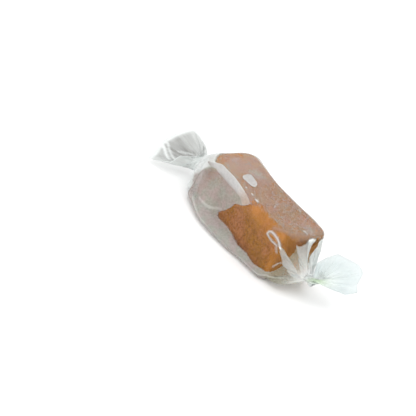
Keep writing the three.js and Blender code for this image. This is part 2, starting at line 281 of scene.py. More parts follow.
def gather_ring(twist, t):
    """The paper between the block's end, at t = 0, and the neck, at t = 1."""
    origin = np.array([twist["side"] * SLEEVE_END, 0, AXIS_HEIGHT])
    side, up = across(normalized(mix(np.array([1, 0, 0]), neck_axis(twist), smooth(t))))
    centre = mix(origin, np.array(twist["start"]), t)
    wide_y, wide_z = sleeve_section(origin[0], SHARES)
    neck_y, neck_z = neck_section(twist, SHARES, 0)
    loose = nearness(SHARES, twist["loose"])
    valley = t ** mix(TIGHT_DRAW["valley"], twist["draw"]["valley"], loose)
    straight = t ** mix(TIGHT_DRAW["crest"], twist["draw"]["crest"], loose)
    drawn = mix(valley, straight, crest(SHARES - twist["drift"] * t, twist["crests"]))
    out = ((cut_end(origin[0], wide_y) - origin[0]) * (1 - t))[:, None] * np.array([1, 0, 0])
    sideways = mix(wide_y, neck_y, drawn)[:, None] * side
    return centre + out + sideways + mix(wide_z, neck_z, drawn)[:, None] * up


def neck_ring(twist, t):
    side, up = across(neck_axis(twist))
    y, z = neck_section(twist, SHARES, t)
    return mix(np.array(twist["start"]), np.array(twist["end"]), t) + y[:, None] * side + z[:, None] * up


def fan_ring(twist, t):
    """The open paper between the end of the neck, at t = 0, and its cut rim, at t = 1."""
    start = neck_ring(twist, 1)
    rim = closed_curve(np.array(twist["rim"]) + np.array(twist["end"]), SHARES)
    bend = mix(start + neck_axis(twist) * twist["side"] * FLARE, rim, FLARE_SHARE)
    return (1 - t) ** 2 * start + 2 * t * (1 - t) * bend + t**2 * rim


# ---- One grid of rings over the whole paper --------------------------------------------------------------
def sleeve_places():
    turns = np.linspace(-SLEEVE_SPREAD, SLEEVE_SPREAD, SLEEVE_RINGS)
    return SLEEVE_LAST * np.sin(turns) / np.sin(SLEEVE_SPREAD)


def sleeve_ring(x):
    y, z = sleeve_section(x, SHARES)
    return np.stack([cut_end(x, y), y, z + AXIS_HEIGHT], 1)


class Paper:
    """The outside of the paper as rings from the rim at -X to the rim at +X."""

    def __init__(self):
        right = [("gather", t) for t in GATHER_STEPS] + [("neck", t) for t in NECK_STEPS]
        right += [("fan", t) for t in FAN_STEPS]
        makers = dict(gather=gather_ring, neck=neck_ring, fan=fan_ring)
        left_rings = [makers[zone](LEFT_TWIST, t) for zone, t in reversed(right)]
        right_rings = [makers[zone](RIGHT_TWIST, t) for zone, t in right]
        self.points = np.array(left_rings + [sleeve_ring(x) for x in sleeve_places()] + right_rings)
        self.zones = [z for z, _ in reversed(right)] + ["sleeve"] * SLEEVE_RINGS + [z for z, _ in right]
        self.t = np.array([t for _, t in reversed(right)] + [0] * SLEEVE_RINGS + [t for _, t in right])
        self.side = np.array([-1] * len(right) + [0] * SLEEVE_RINGS + [1] * len(right))

    def where(self, zone):
        """Which of the rings are in a zone."""
        return np.array([z == zone for z in self.zones])

    def normals(self):
        """Outward normals of the grid."""
        round_ = np.roll(self.points, -1, axis=1) - np.roll(self.points, 1, axis=1)
        onward = np.gradient(self.points, axis=0)
        return normalized(np.cross(round_, onward))

    def lift(self, distance):
        self.points = self.points + self.normals() * distance[..., None]


# ---- Places on the unfolded sheet ------------------------------------------------------------------------
SHEET_ROUND = 70
SHEET_STARTS = dict(sleeve=0, gather=SLEEVE_LAST, neck=32.4, fan=36.4)
SHEET_LENGTHS = dict(sleeve=0, gather=10, neck=4, fan=12)


def sheet_places(paper):
    along = np.array([SHEET_STARTS[zone] + t * SHEET_LENGTHS[zone] for zone, t in zip(paper.zones, paper.t)])
    along = np.where(paper.side == 0, paper.points[:, 0, 0], along * paper.side)
    return np.stack(np.broadcast_arrays(along[:, None], SHARES * SHEET_ROUND), -1)


def from_line(places, corners):
    """Distance from places on the sheet to a line through corners."""
    nearest = np.inf
    for a, b in zip(np.array(corners[:-1]), np.array(corners[1:])):
        gone = clamp01((places - a) @ (b - a) / ((b - a) @ (b - a)))[..., None]
        nearest = np.minimum(nearest, np.linalg.norm(places - a - gone * (b - a), axis=-1))
    return nearest


def within(places, corners):
    """Distance inwards from a smooth closed outline: positive inside it, negative outside."""
    count = OUTLINE_STEPS * len(corners)
    outline = closed_curve(np.array(corners), np.arange(count) / count)
    outline = np.concatenate([outline, outline[:1]])
    x, y = places[..., 0], places[..., 1]
    inside = np.zeros(x.shape, bool)
    for (ax, ay), (bx, by) in zip(outline[:-1], outline[1:]):
        if ay != by:
            inside ^= ((ay > y) != (by > y)) & (x < ax + (bx - ax) * (y - ay) / (by - ay))
    return np.where(inside, 1, -1) * from_line(places, outline)


def brightest(places, lines):
    """0 away from all lines, up to the strength of the one that runs through a place."""
    near = [
        strength * smooth(clamp01(1 - from_line(places, line) / reach))
        for strength, reach, line in lines
    ]
    return np.max(near, axis=0)


# ---- Where the paper sticks to the caramel, is folded double or creased, or has painted highlights -------
CLEAR = (  # from the tip of the hem down the end of the flap, along the bottom edge and round the +X end
    (3.4, 45), (1.6, 47.2), (-1.8, 49), (-3.4, 51.6), (-5, 54), (-7.2, 56.3), (-6, 57.5), (0, 57.3), (8, 58),
    (12.5, 57.8), (17, 58.2), (20.5, 57.6), (22.4, 58.2), (24.2, 56), (25.6, 53), (26, 49), (25.7, 45),
    (25.3, 42.5), (24, 40), (23.7, 36), (22.6, 33), (23, 29.9), (25.6, 30.4), (25.6, 28.6), (24.2, 27),
    (23.2, 26.2), (22.9, 27.5), (22.9, 29), (22, 31.5), (21.8, 35), (20.5, 40.2), (16.5, 42.4), (8, 43.2),
)
CORNER_CLEAR = (  # round the top corner at -X
    (-17.4, 43.6), (-19.6, 43), (-20.8, 41), (-21.9, 37), (-21.4, 33.6), (-20.2, 33.4), (-19.8, 36.5),
    (-19, 39.5), (-17.6, 41.4),
)
HEM = (  # folded double along the upper -Y edge
    (-21, 46), (-18.1, 44.2), (-16, 43.2), (-13.3, 43.1), (-9.6, 42.7), (-5, 43), (0, 43.6), (3, 44.3),
    (3.5, 45.4), (1.4, 47.2), (-0.8, 46.1), (-4.5, 46), (-9, 46.2), (-13.1, 46), (-16.4, 45.6), (-18.3, 46.2),
)
RIBBONS = (  # folds that run from the block's end at +X to the twist there
    ((22.3, 46.7), (22.9, 46.1), (23.8, 45.9), (25.4, 46.6), (27.9, 47.8), (29.7, 50), (32.4, 55), (32.4, 60),
     (29.7, 56), (27.9, 52.8), (25.9, 51.4), (24.8, 49.8), (23.4, 48.4)),
    ((23.1, 39.6), (23.9, 38.3), (23.8, 35.4), (22.6, 33.2), (22.4, 31), (22.5, 28.6), (23, 29.1),
     (24.5, 29.9), (25.8, 30.8), (27.6, 32.1), (30.7, 38.1), (32.4, 42), (32.4, 52), (31, 49.7),
     (29.6, 46.2), (27.4, 43), (24.8, 40.6)),
    ((22.4, 26.1), (24.3, 27), (25.6, 28.6), (26.9, 30.4), (28.3, 31.6), (31, 36.5), (32.4, 38), (32.4, 10),
     (24, 12), (22.4, 18)),
)
BLISTER_REFLECTION = (  # a raised pocket in the top film, painted white as a reflection of the light
    (-9, 39.8), (-9.6, 37.5), (-9.1, 36.2), (-7, 36.3), (-5, 36.5), (-3.5, 37.5), (-3, 38.9), (-4, 39.7),
    (-6.2, 40.1), (-7.9, 40.3),
)
# Whitened creases in the paper, and painted glints and highlights on it
CREASES_AND_GLINTS = (  # how bright each is, how far it reaches to either side, and where it runs
    (1, 0.75, ((17, 46.6), (17, 45.8), (17.6, 45.3), (18.8, 45.1), (20.9, 45.2), (21.9, 45.6), (22.6, 46.6))),
    (0.9, 0.65, ((17, 46.5), (18.6, 46.9), (20.4, 47), (21.8, 46.9))),
    (0.6, 0.5, ((21.8, 47.3), (22.4, 49.3))),
    (0.7, 0.5, ((22.9, 55.4), (24.1, 52.8), (25.2, 51))),
    (0.35, 0.5, ((16, 60), (20.1, 59.7), (22.9, 59.8), (27.4, 57.6))),
    (0.3, 0.6, ((-14.9, 55.9), (-11.7, 55.8), (-9.2, 56), (-6.7, 54.8))),
    # painted glints on the top face
    (0.9, 0.5, ((-3.2, 42), (-3, 42))),
    (0.9, 0.4, ((0.4, 41.9), (1.2, 41.7))),
    (1, 0.5, ((3.1, 42.2), (4.3, 42.1))),
    (0.6, 0.35, ((7.9, 37.7), (6.4, 36.3), (5.6, 34.6))),
    (0.7, 0.4, ((9.6, 28.8), (10.6, 29.2))),
    (0.8, 0.35, ((20.6, 34.7), (21.1, 33.9))),
    # a whitened fold where the paper turns under the lower edge, lightened as a painted highlight; then a
    # painted highlight along the top edge at +X
    (0.35, 0.9, ((-18, 58), (-10, 59.6), (0, 60.2), (8, 60.6), (16, 60.2))),
    (0.28, 1.8, ((17.5, 43.6), (21, 40.6), (21.9, 36), (21.9, 31))),
)

# ---- Pleats, crinkles and folds in relief ----------------------------------------------------------------
FINE_COUNT = 23  # fine pleats on the way round, in all that is gathered
FINE_WARP = 0.02  # share of the way round by which they stray
WARP_COUNT = 5  # times on the way round
FINEST_COUNT = 41  # finer ones over them
FINEST_HEIGHT = 0.6  # as a share of the fine ones'
FINEST_START = 2  # of their wave, in radians
FINE_HEIGHT = dict(gather=0.16, neck=0.06, fan=0.1)
FAN_FADE = 0.7  # a smaller number keeps the fine pleats high over more of a fan
CRINKLES = ((2.2, 0.05, 5), (5, 0.1, 6))  # how wide, how high, and the seed of their random waves
CRINKLE_WAVES = 24
CRINKLE_LENGTHS = (0.7, 1.5)  # the shortest and the longest half wave, as shares of the width
STUCK_FLATTENS = 0.8  # share of a crinkle that goes where the paper sticks
STUCK_EDGE = 0.5  # to either side of where it starts to stick
FOLD_HEIGHT = 0.2
FOLD_EDGE = (-0.2, 0.3)  # where a fold rises, inwards from its outline
CREASE_HEIGHT = 0.12


def main_pleats(paper, twist):
    """Relief of the pleats of a fan that the solids have too."""
    fade = np.sin(pi * np.minimum(PLEAT_FALL, PLEAT_RISE + paper.t))[:, None]
    pleats = PLEAT_DEPTH * fade * (crest(SHARES - twist["drift"], twist["crests"]) - 0.5)
    return np.where(paper.where("fan")[:, None], pleats, 0)


def fine_pleats(paper, twist):
    """Relief of fine irregular pleats in all that is gathered."""
    warp = FINE_WARP * np.sin(2 * pi * WARP_COUNT * SHARES + twist["side"])
    finest = FINEST_HEIGHT * np.sin(2 * pi * FINEST_COUNT * SHARES + FINEST_START)
    height = np.where(paper.where("gather"), FINE_HEIGHT["gather"] * np.sin(pi * clamp01(paper.t)), 0)
    height += np.where(paper.where("neck"), FINE_HEIGHT["neck"], 0)
    height += np.where(paper.where("fan"), FINE_HEIGHT["fan"] * np.sin(pi * paper.t) ** FAN_FADE, 0)
    return height[:, None] * (np.sin(2 * pi * FINE_COUNT * (SHARES + warp)) + finest)


def pleat_relief(paper):
    relief = np.zeros(paper.points.shape[:2])
    for twist in (LEFT_TWIST, RIGHT_TWIST):
        mine = (paper.side == twist["side"])[:, None]
        relief += np.where(mine, main_pleats(paper, twist) + fine_pleats(paper, twist), 0)
    return relief


def ripples(points, size, seed):
    """Smooth random relief over points, about -1 to 1, whose bumps are about "size" wide."""
    random = np.random.default_rng(seed)
    directions = random.normal(size=(CRINKLE_WAVES, 3))
    directions /= np.linalg.norm(directions, axis=1, keepdims=True)
    lengths = 2 * size * random.uniform(*CRINKLE_LENGTHS, (CRINKLE_WAVES, 1))
    phases = random.uniform(0, 2 * pi, CRINKLE_WAVES)
    return np.sin(points @ (2 * pi * directions / lengths).T + phases).sum(-1) * (2 / CRINKLE_WAVES) ** 0.5


def make_paper():
    """The paper's grid with its relief, and with what its places on the sheet say of it."""
    paper = Paper()
    paper.sheet = sheet_places(paper)
    paper.stuck = within(paper.sheet, CLEAR)
    paper.fold = np.max([within(paper.sheet, outline) for outline in (HEM, BLISTER_REFLECTION, *RIBBONS)], axis=0)
    paper.crease = brightest(paper.sheet, CREASES_AND_GLINTS)
    paper.lift(pleat_relief(paper))
    crinkle = sum(height * ripples(paper.points, size, seed) for size, height, seed in CRINKLES)
    loose = 1 - STUCK_FLATTENS * step(paper.stuck, -STUCK_EDGE, STUCK_EDGE)
    over_caramel = np.maximum(crinkle, 0) * loose
    paper.lift(np.where(paper.where("sleeve")[:, None], over_caramel, crinkle))
    paper.lift(FOLD_HEIGHT * step(paper.fold, *FOLD_EDGE) + CREASE_HEIGHT * paper.crease)
    paper.points[..., 2] = np.maximum(paper.points[..., 2], 0)
    return paper


# ---- How much the paper hides, 0 to 1 --------------------------------------------------------------------
HAZE_ROUND = (  # cover of a single layer that stands off the caramel, by its place round the sheet
    (0, 0.5), (9, 0.5), (12, 0.42), (24, 0.4), (27, 0.27), (40, 0.27), (43, 0.37), (46, 0.6), (60, 0.62),
    (64, 0.5),
)
HAZE_CLEAR = 0.02  # where it sticks
HAZE_BESIDE = 0.03  # more than that just beside it
TOP_FACE = (26, 44)  # round the sheet
TOP_MILKY = (0, (0.1, 6, 14))  # more cover on the top face, towards -X
SOFT_ROUND = 44.4  # up to here round the sheet, the cover sets in softly beside what sticks
SOFT_REACH = (3.5, (1.4, 6, 14), (0.6, 20.5, 22))  # over this distance, by the place along the sheet
CORNER_SOFT = (0.5, (1, -0.8, 2.5))  # share of the cover at the top corner at -X, and beyond it
RIGHT_GATHER = ((0.5, 0, 0.4), (0.88, 0.6, 1))  # cover on the way to the neck at +X
WHITE_FROM = (  # where the thick white gathers at -X begin, as places round the sheet and along it
    (0, -24), (20, -24), (36, -22.6), (40, -20.9), (43, -19.4), (44.2, -18.2), (45.1, -16), (46.7, -17.8),
    (48.9, -20), (51.7, -21.8), (55, -22.4), (57.8, -22), (64, -24), (70, -24),
)
WHITE_GATHER = (0.91, 0, 1.5)  # their cover, and over what distance it sets in
# The first spot, on the top face, is a painted sheen.
SPOTS = (  # where the cover differs: the place, how far it reaches and by how much
    ((-9, 33.5), 3, 0.28), ((-17, 38), 2.5, 0.12), ((20, 32.4), 2, 0.2), ((-21.3, 44.4), 2, -0.07),
    ((-16.6, 47.4), 3, -0.21), ((-23.9, 55.2), 3, -0.2), ((-19.4, 56.3), 3, -0.12),
)
COVER_NECK = 0.98
COVER_FAN = 0.9
HEM_COVER = (0.88, (0.6, -4, 3))  # by the place along the sheet
HEM_EDGE_COVER = 0.62  # of its lower edge
HEM_EDGE = (44.8, 46.2)  # round the sheet
HEM_EDGE_SHARE = 0.8  # how far the cover changes to that of the edge
RIBBONS_FROM = 12  # along the sheet
FAR_RIBBON_ROUND = 33  # up to here round the sheet, it is the ribbon on the far side
FAR_RIBBON_COVER = 0.9
NEAR_RIBBON_COVER = (0.5, (0.81, 24, 31))  # by the place along the sheet
BLISTER_REFLECTION_COVER = 0.85
BLISTER_REFLECTION_EDGE = -0.5  # its painted reflection goes a little past its outline


def soft_edge(paper):
    """0 where a single layer sticks to the caramel, 1 where it stands off enough to look milky."""
    soft = step(-paper.stuck, 0, stages(paper.sheet[..., 0], *SOFT_REACH))
    return soft * stages(-within(paper.sheet, CORNER_CLEAR), *CORNER_SOFT)


def haze(paper):
    """Cover of a single layer where it doesn't stick to the caramel."""
    along, round_ = paper.sheet[..., 0], paper.sheet[..., 1]
    cover = np.interp(round_, *np.transpose(HAZE_ROUND))
    on_top = (round_ > TOP_FACE[0]) & (round_ < TOP_FACE[1])
    cover = cover + np.where(on_top, stages(-along, *TOP_MILKY), 0)
    cover = np.where(round_ < SOFT_ROUND, mix(HAZE_CLEAR + HAZE_BESIDE, cover, soft_edge(paper)), cover)
    in_right_gather = paper.where("gather")[:, None] & (paper.side[:, None] > 0)
    cover = np.where(in_right_gather, stages(paper.t[:, None], cover, *RIGHT_GATHER), cover)
    white_from = np.interp(round_, *np.transpose(WHITE_FROM))
    cover = stages(white_from - along, cover, WHITE_GATHER)
    for place, reach, more in SPOTS:
        cover = cover + more * spot(paper.sheet, place, reach)
    cover[paper.where("neck")] = COVER_NECK
    cover[paper.where("fan")] = COVER_FAN
    return cover


def fold_haze(paper):
    """Cover of what is folded double, and of the painted reflection on the blister."""
    along, round_ = paper.sheet[..., 0], paper.sheet[..., 1]
    hem = mix(stages(along, *HEM_COVER), HEM_EDGE_COVER, HEM_EDGE_SHARE * step(round_, *HEM_EDGE))
    ribbon = np.where(round_ > FAR_RIBBON_ROUND, stages(along, *NEAR_RIBBON_COVER), FAR_RIBBON_COVER)
    cover = np.where(along > RIBBONS_FROM, ribbon, hem)
    return np.where(within(paper.sheet, BLISTER_REFLECTION) > BLISTER_REFLECTION_EDGE, BLISTER_REFLECTION_COVER, cover)


# ---- Painted shade in the fan at -X, and painted green light in the other neck ---------------------------
HOLLOW_PLACE = 53.5  # round the sheet, where the hollow of the fan is darkest
HOLLOW_REACH = 8
HOLLOW_LEAST = 0.42  # how dark it is on its other side
HOLLOW_RIM = (0.2, 1.2)  # how far inside the rim the shade sets in
# pleats of painted shade in the hollow
HOLLOW_PLEATS = (  # dark pleats in it: how dark, how far each reaches to either side, and where it runs
    (1, 0.9, ((-47.3, 54), (-46.6, 54), (-45.6, 54.6), (-44.3, 55.3), (-42.9, 56.8), (-41.9, 58.5))),
    (0.7, 0.8, ((-44.6, 49.6), (-43.6, 52), (-42.7, 53.2), (-41.8, 54.8))),
    (0.9, 1, ((-46.2, 51.9), (-45.7, 52.1))),
)
HOLLOW_PLEAT_SHADE = 0.65
ROLLED_EDGE = (  # bright lines where the paper rolls over: how bright, how far they reach, where they run
    (1, 0.7, ((-48.2, 52), (-47, 49.9), (-45.8, 46.8), (-45.1, 45.4))),
    (0.7, 0.6, ((-47.5, 53.7), (-46.3, 50.9), (-44.9, 48.3), (-44.1, 46.9))),
    (0.5, 0.7, ((-44.7, 52.8), (-44.1, 53.7), (-43, 54.9), (-41.8, 56.2))),
)
OUTER_SHADE = (0, (0.18, 40, 45))  # of the outside of the fan, towards its rim
# the painted green light under the neck at +X: its middle on the sheet, its reach and its strength
GREEN_PLACE = (37.5, 66)
GREEN_REACH = (3.5, 11)
GREEN_STRENGTH = 0.5


def inside_shade(paper):
    """How much shade is painted in the hollow of the fan at -X, 0 to 1, apart from its rolled edge."""
    along, round_ = paper.sheet[..., 0], paper.sheet[..., 1]
    from_rim = SHEET_STARTS["fan"] + SHEET_LENGTHS["fan"] + along
    darkest = np.exp(-(((round_ - HOLLOW_PLACE) / HOLLOW_REACH) ** 2))
    hollow = step(from_rim, *HOLLOW_RIM) * mix(HOLLOW_LEAST, 1, darkest)
    hollow = hollow + HOLLOW_PLEAT_SHADE * brightest(paper.sheet, HOLLOW_PLEATS)
    hollow = clamp01(hollow * (1 - brightest(paper.sheet, ROLLED_EDGE)))
    return np.where((paper.where("fan") & (paper.side < 0))[:, None], hollow, 0)


def paint_green_light(paper):
    """How much faint green light is painted in the folds under the neck at +X, 0 to 1."""
    apart = paper.sheet - GREEN_PLACE
    apart[..., 1] = (apart[..., 1] + SHEET_ROUND / 2) % SHEET_ROUND - SHEET_ROUND / 2
    return GREEN_STRENGTH * spot(apart, 0, GREEN_REACH)


# ---- Painted light in the caramel, and its hue -----------------------------------------------------------
PAINTED_LIGHT_REACH = 3.4  # painted light, as if shining through it, reaches this far from its upper -Y edge
END_PAINTED_LIGHT = (0.8, (2, -2, 3))  # and at its +X end, most at +Y, to lift the shade under the ribbons
END_DEPTH = 1  # from the tip of that end
END_TOP = (14, 16.2)  # up to this height, where it fades out
TOP_PAINTED_LIGHT = (0.3, (1.1, 4, 14))  # and on its top, most towards -X
TOP_FROM = (15.5, 17)  # from this height, where it sets in
HUES = (  # where it is more olive, or pinker if negative: x and z, reach and strength
    ((12.5, 9.3), 4.5, 2), ((20.5, 5), 3, 2), ((3, 7), 4, -1), ((18.5, 9.5), 2.2, -1.3),
)


def caramel_painted_light(points):
    """How much light is painted on the caramel, as if shining through it: 0 to 1, and up to 2 where it is
    brightest.
    """
    x, y, z = points.T
    edge = np.array([-BLOCK_WIDTH / 2, AXIS_HEIGHT + BLOCK_HEIGHT / 2])
    along_edge = np.exp(-((np.linalg.norm(points[:, 1:] - edge, axis=1) / PAINTED_LIGHT_REACH) ** 2))
    at_end = step(x, BLOCK_LENGTH / 2 - END_DEPTH, BLOCK_LENGTH / 2) * (1 - step(z, *END_TOP))
    on_top = stages(-x, *TOP_PAINTED_LIGHT) * step(z, *TOP_FROM)
    return np.max([along_edge, at_end * stages(y, *END_PAINTED_LIGHT), on_top], axis=0)


def caramel_hue(points):
    """How much more olive the caramel is than elsewhere, or pinker if negative."""
    hue = np.zeros(len(points))
    for place, reach, strength in HUES:
        hue += strength * spot(points[:, [0, 2]], place, reach)
    return hue


# ---- Meshes ----------------------------------------------------------------------------------------------
def loft(rings, inward=False):
    """Points and faces of a closed skin over rings that turn from +Y to +Z, shut at both ends."""
    count = len(rings[0])
    points = np.concatenate([np.concatenate(rings), [rings[0].mean(0), rings[-1].mean(0)]])
    here = np.arange(count)
    onward = (here + 1) % count
    quads = np.stack([here, onward, onward + count, here + count], 1)
    faces = []
    for start in range(0, count * (len(rings) - 1), count):
        faces += (quads + start).tolist()
    last = count * (len(rings) - 1)
    faces += [[len(points) - 2, b, a] for a, b in zip(here, onward)]
    faces += [[len(points) - 1, a + last, b + last] for a, b in zip(here, onward)]
    return points, [face[::-1] for face in faces] if inward else faces


def carry(values, rings):
    """The values of a loft's points: those of its rings, then of the points that shut its ends."""
    return np.concatenate([values[rings].reshape(-1, *values.shape[2:]), values[rings[[0, -1]]].mean(1)])


def add_mesh(name, points, faces, material, **attributes):
    mesh = bpy.data.meshes.new(name)
    mesh.from_pydata((points * MM).tolist(), [], faces)
    for key, values in attributes.items():
        kind = "FLOAT" if values.ndim == 1 else "FLOAT_VECTOR"
        field = "value" if values.ndim == 1 else "vector"
        mesh.attributes.new(key, kind, "POINT").data.foreach_set(field, values.astype(np.float32).ravel())
    mesh.polygons.foreach_set("use_smooth", [True] * len(mesh.polygons))
    mesh.materials.append(material)
    mesh.update()
    made = bpy.data.objects.new(name, mesh)
    bpy.context.scene.collection.objects.link(made)
    return made


# ---- Materials -------------------------------------------------------------------------------------------
class Graph:
    """A short way to write a material's nodes."""

    def __init__(self, name):
        self.material = bpy.data.materials.new(name)
        self.material.use_nodes = True
        self.tree = self.material.node_tree
        self.tree.nodes.clear()

    def node(self, kind, inputs=None, output=0, **settings):
        made = self.tree.nodes.new("ShaderNode" + kind)
        for key, value in settings.items():
            setattr(made, key, value)
        for key, value in (inputs or {}).items():
            if isinstance(value, bpy.types.NodeSocket):
                self.tree.links.new(value, made.inputs[key])
            else:
                made.inputs[key].default_value = value
        return made.outputs[output]

    def number(self, name):
        """A number that the mesh carries."""
        return self.node("Attribute", output=2, attribute_name=name)

    def math(self, operation, *values, clamp=False):
        return self.node("Math", dict(enumerate(values)), operation=operation, use_clamp=clamp)

    def ramp(self, value, low, high, to_low=0.0, to_high=1.0):
        """Smooth change from one number to another while value goes from low to high."""
        inputs = {"Value": value, "From Min": low, "From Max": high, "To Min": to_low, "To Max": to_high}
        return self.node("MapRange", inputs, interpolation_type="SMOOTHSTEP")

    def mix(self, factor, a, b):
        """Mix of two numbers."""
        return self.node("Mix", {0: factor, 2: a, 3: b}, data_type="FLOAT")

    def blend(self, factor, a, b):
        """Mix of two colours."""
        return self.node("Mix", {0: factor, 6: a, 7: b}, output=2, data_type="RGBA")

    def noise(self, place, size, detail=2, roughness=0.5):
        """Noise with spots of about "size" millimetres."""
        inputs = {"Vector": place, "Scale": 1 / size, "Detail": detail, "Roughness": roughness}
        return self.node("TexNoise", inputs)

    def patches(self, place, low, high, weak=0.0, strong=1.0, **texture):
        """Patches in which a number goes from weak to strong while their noise goes from low to high."""
        return self.ramp(self.noise(place, **texture), low, high, weak, strong)

    def stretched(self, place, stretch):
        return self.node("VectorMath", {0: place, 1: stretch}, operation="MULTIPLY")

    def millimetres(self):
        """Places on the object, in millimetres."""
        place = self.node("TexCoord", output=3)
        return self.node("VectorMath", {0: place, 3: 1 / MM}, operation="SCALE")

    def finish(self, shader):
        end = self.tree.nodes.new("ShaderNodeOutputMaterial")
        self.tree.links.new(shader, end.inputs["Surface"])
        return self.material


def colour(red, painted_green_light, blue):
    """An 8-bit sRGB colour as linear light."""
    channels = [v / 255 for v in (red, painted_green_light, blue)]
    return [*(v / 12.92 if v < 0.04045 else ((v + 0.055) / 1.055) ** 2.4 for v in channels), 1]


# ---- Caramel's material ----------------------------------------------------------------------------------
OLIVE = colour(155, 103, 30)
PINK = colour(173, 114, 69)
MOTTLED = colour(174, 111, 76)
DARK_GRAIN = colour(104, 62, 21)
# painted light: the colours the caramel takes where light is painted on it
PAINTED_LIT = colour(190, 127, 62)
PAINTED_BRIGHTEST = colour(226, 162, 96)
HUE_SIZE = 8
HUE_RANGE = (0.38, 0.62)  # from olive to pink
HUE_SHIFT = -0.15  # where the mesh says that the hue differs
MOTTLE = dict(size=2.2, detail=3, low=0.42, high=0.68, strong=0.4)
CARAMEL_GRAIN = dict(size=0.8, detail=4, roughness=0.75)
GRAIN_DARKENS = (0.36, 0.66, 0, 0.82)
PAINTED_LIT_PATCHES = dict(size=3.5, low=0.35, high=0.65, weak=0.38, strong=0.75)
PAINTED_LIGHT_BRIGHTENS = (1, 2, 0, 0.8)  # where the painted light is more than 1


def caramel_material():
    graph = Graph("caramel")
    place = graph.millimetres()
    painted_light = graph.number("painted_light")
    grain = graph.noise(place, **CARAMEL_GRAIN)
    hue = graph.math("MULTIPLY_ADD", graph.number("hue"), HUE_SHIFT, graph.noise(place, HUE_SIZE))
    base = graph.blend(graph.ramp(hue, *HUE_RANGE), OLIVE, PINK)
    base = graph.blend(graph.patches(place, **MOTTLE), base, MOTTLED)
    base = graph.blend(graph.ramp(grain, *GRAIN_DARKENS), base, DARK_GRAIN)
    # painted light: lit patches, and the brightest colour where it passes 1
    base = graph.blend(graph.math("MULTIPLY", painted_light, graph.patches(place, **PAINTED_LIT_PATCHES)), base, PAINTED_LIT)
    base = graph.blend(graph.ramp(painted_light, *PAINTED_LIGHT_BRIGHTENS), base, PAINTED_BRIGHTEST)
    bump = graph.node("Bump", {"Height": grain, "Strength": 0.2, "Distance": 0.15 * MM})
    shader = graph.node("BsdfPrincipled", {
        "Base Color": base, "Roughness": 0.42, "Normal": bump, "Specular IOR Level": 0.15,
    })
    return graph.finish(shader)


# ---- Paper's material: its cover -------------------------------------------------------------------------
FILM_GRAIN = dict(size=0.7, detail=4, roughness=0.75, low=0.36, high=0.64, weak=-0.33, strong=0.33)
FILM_PATCHES = dict(size=3, low=0.35, high=0.65, weak=-0.06, strong=0.06)
SEE_THROUGH_POWER = 1.8  # the less a single layer hides, the more unevenly it does
DOUBLE_UNEVEN = 0.12  # share of the unevenness in what is folded double
WOBBLE_SIZE = 1.1  # the edge of what sticks wanders
WOBBLE = 0.25  # this far to either side
STUCK_BLUR = 0.2
FOLD_BLUR = 0.12
CREASE_AND_GLINT_COVER = 0.7


def single_cover(graph, place, uneven):
    """Cover of a single layer: clear where it sticks, milky and uneven where it stands off."""
    milky = graph.number("haze")
    wobble = graph.math("MULTIPLY_ADD", graph.noise(place, WOBBLE_SIZE), 2 * WOBBLE, -WOBBLE)
    stuck = graph.ramp(graph.math("ADD", graph.number("stuck"), wobble), -STUCK_BLUR, STUCK_BLUR)
    see_through = graph.math("POWER", graph.math("SUBTRACT", 1, milky), SEE_THROUGH_POWER)
    cover = graph.math("MULTIPLY_ADD", uneven, see_through, milky, clamp=True)
    return graph.mix(stuck, cover, HAZE_CLEAR)


def paper_cover(graph, place):
    """Cover of the paper, single or folded double, apart from its bright creases and painted glints."""
    uneven = graph.math("ADD", graph.patches(place, **FILM_GRAIN), graph.patches(place, **FILM_PATCHES))
    single = single_cover(graph, place, uneven)
    double = graph.math("MULTIPLY_ADD", uneven, DOUBLE_UNEVEN, graph.number("fold_haze"), clamp=True)
    return graph.mix(graph.ramp(graph.number("fold"), -FOLD_BLUR, FOLD_BLUR), single, double)


# ---- Paper's material: its colours, by the place along the sheet -----------------------------------------
FILM_ROSY = colour(222, 209, 205)
FILM_GREY = colour(213, 215, 205)
FILM_HUE = dict(size=3.5, low=0.38, high=0.62)
WEB_SHADE = colour(184, 183, 158)  # painted shade on the thin paper between the ribbons, over the dim inside
WEB_SHADE_FROM = (20, 26)
WEB_SHADE_COVER = (0.6, 0.85, 1, 0)  # and only where it hides little
WHITE = colour(252, 255, 254)
WHITE_COVER = (0.72, 0.88)  # the paper is white where it hides this much
GATHERED = (24, 34)  # and in its gathers, by the distance from the middle
COOL_WHITE = colour(235, 241, 241)
RIGHT_NECK_FROM = (32, 35)
COOL_FROM = (41, 47)
HEM_GREY = colour(225, 224, 223)
RIBBON_GREY = colour(224, 230, 228)
RIBBON_GREY_FROM = (10, 18)
HEM_TIP = colour(240, 224, 210)
HEM_TIP_FROM = (-6, 3)
HEM_TIP_TO = (6, 10)
RIBBON_WHITE = colour(250, 252, 251)
RIBBON_WHITE_FROM = (29.5, 32)
FOLD_TINT = (0, 0.4)  # inwards from a fold's outline
# painted green light
PAINTED_GREEN = colour(222, 243, 206)
# white of the creases and of the painted glints
CREASE_AND_GLINT_WHITE = colour(252, 252, 252)
# painted shade in the hollow of the fan at -X
HOLLOW_SHADE_GREY = colour(118, 116, 110)
HOLLOW_STRETCH = (0.08, 0.5, 1)  # its streaks run along the sheet
HOLLOW_STREAKS = dict(size=1, low=0.35, high=0.65, weak=0.8, strong=1)


